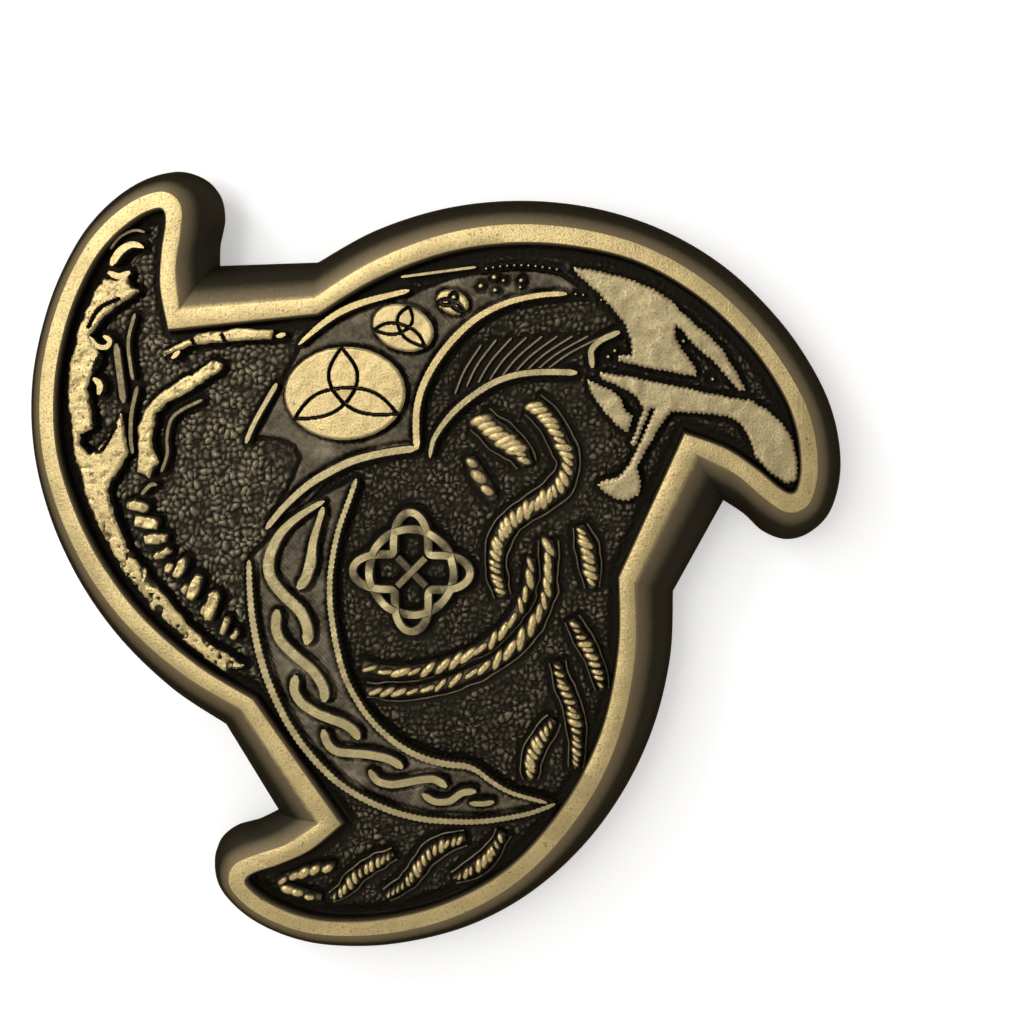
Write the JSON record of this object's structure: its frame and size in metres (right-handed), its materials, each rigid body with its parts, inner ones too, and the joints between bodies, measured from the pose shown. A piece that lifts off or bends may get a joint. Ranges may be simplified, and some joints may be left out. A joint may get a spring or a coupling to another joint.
{
  "type": "challenge coin",
  "caption": "Three-armed double-sided challenge coin in antique brass, with a raised rim and relief motifs on both faces.",
  "frame": {"origin": "middle of the bounding box's base, on the surface the coin lies on", "axes": "+Z out of the top face, through the thickness; +X along the coin's longest width, +Y up the top face's design"},
  "size_m": [0.0498, 0.048, 0.004],
  "materials": {
    "antique_brass": "antique brass, dark patina in the recesses and rubbed bright on the rim",
    "polished_brass": "flat polished brass with fine scratches",
    "olive_brass": "duller olive-brown antique brass"
  },
  "bodies": {
    "root": {"axe_and_bar": "polished_brass", "bay_bar": "polished_brass", "beard_lock_1": "olive_brass", "beard_lock_2": "olive_brass", "beard_lock_3": "olive_brass", "beard_lock_4": "olive_brass", "beast_band": "polished_brass", "beast_crest": "polished_brass", "beast_tongue": "polished_brass", "belly_scales": "antique_brass", "braid_link_1": "antique_brass", "braid_link_2": "antique_brass", "braid_link_3": "antique_brass", "braid_link_4": "antique_brass", "braid_link_5": "antique_brass", "braid_loop_left": "antique_brass", "braid_loop_right": "antique_brass", "claw_lower": "polished_brass", "claw_upper": "polished_brass", "coin_blank": "antique_brass", "collar_garland": "antique_brass", "collar_plate": "olive_brass", "collar_ring": "antique_brass", "crescent_line_inner": "antique_brass", "crescent_line_outer": "antique_brass", "crescent_line_top": "antique_brass", "feather_line": "antique_brass", "hair_front_lock": "olive_brass", "hair_lock_1": "olive_brass", "hair_lock_2": "olive_brass", "hair_lock_3": "olive_brass", "hair_lock_4": "olive_brass", "hair_lock_5": "olive_brass", "hair_lock_6": "olive_brass", "hair_lock_7": "olive_brass", "head": "olive_brass", "headband": "antique_brass", "horn_curled": "antique_brass", "horn_long": "antique_brass", "medallion_large": "polished_brass", "medallion_medium": "polished_brass", "medallion_small": "polished_brass", "panel_line_inner": "polished_brass", "panel_line_upper": "polished_brass", "rope_coil_inner": "antique_brass", "rope_coil_outer": "antique_brass", "rope_strand_1": "antique_brass", "rope_strand_2": "antique_brass", "rope_strand_3": "antique_brass", "rope_strand_4": "antique_brass", "rope_sweep_lower": "antique_brass", "rope_sweep_upper": "antique_brass", "tail_strand_1": "antique_brass", "tail_strand_2": "antique_brass", "tail_strand_3": "antique_brass", "tail_tip": "antique_brass", "top_emblem": "antique_brass", "underside_emblem": "antique_brass"}
  },
  "joints": []
}
